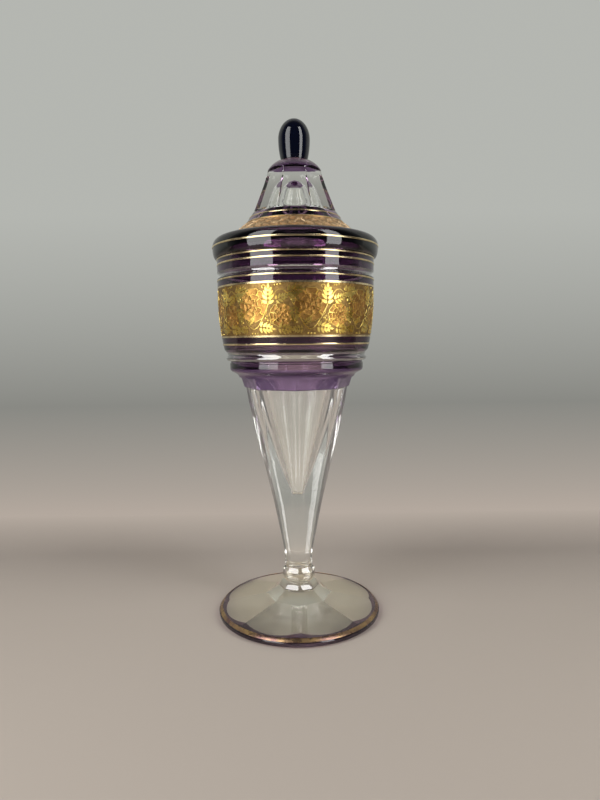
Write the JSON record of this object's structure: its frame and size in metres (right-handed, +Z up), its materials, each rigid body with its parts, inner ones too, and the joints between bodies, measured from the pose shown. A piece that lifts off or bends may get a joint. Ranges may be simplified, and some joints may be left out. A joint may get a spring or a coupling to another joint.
{
  "type": "candy jar",
  "caption": "Tall covered candy jar of cut clear glass with amethyst casing and gilding: a funnel bowl on a stem and faceted foot, and a lift-off bell-shaped lid with an egg finial.",
  "frame": {"origin": "centre of the foot's underside", "axes": "+Z up along the axis of the jar; -Y is the side towards the camera in the picture"},
  "size_m": [0.09, 0.09, 0.2677],
  "materials": {
    "clear_glass": "polished, cut in flat panels",
    "amethyst_glass": "polished, a thin coloured layer over clear glass",
    "dark_amethyst_glass": "polished, nearly black through its depth",
    "polished_gilding": "burnished gold lines",
    "etched_gilding": "matt gold ground with burnished gold ornament"
  },
  "bodies": {
    "jar": {"foot": "clear_glass", "foot_casing": "amethyst_glass", "foot_gilt_line": "polished_gilding", "merese": "clear_glass", "stem": "clear_glass", "bowl_funnel": "clear_glass", "bowl_cup": "clear_glass", "bowl_casing": "amethyst_glass", "bowl_frieze": "etched_gilding", "waist_gilt_line": "polished_gilding", "groove_gilt_line": "polished_gilding", "upper_gilt_line": "polished_gilding", "mouth_gilt_line": "polished_gilding"},
    "lid": {"lid_body": "clear_glass", "lid_rim_casing": "amethyst_glass", "lid_cap_casing": "amethyst_glass", "lid_frieze": "etched_gilding", "lid_shoulder_gilt_line": "polished_gilding", "lid_rim_gilt_line": "polished_gilding", "finial": "dark_amethyst_glass"}
  },
  "joints": [
    {"name": "lid_lift", "type": "slide", "parent": "jar", "child": "lid", "axis": [0, 0, 1], "range_m": [0, 0.08]}
  ]
}
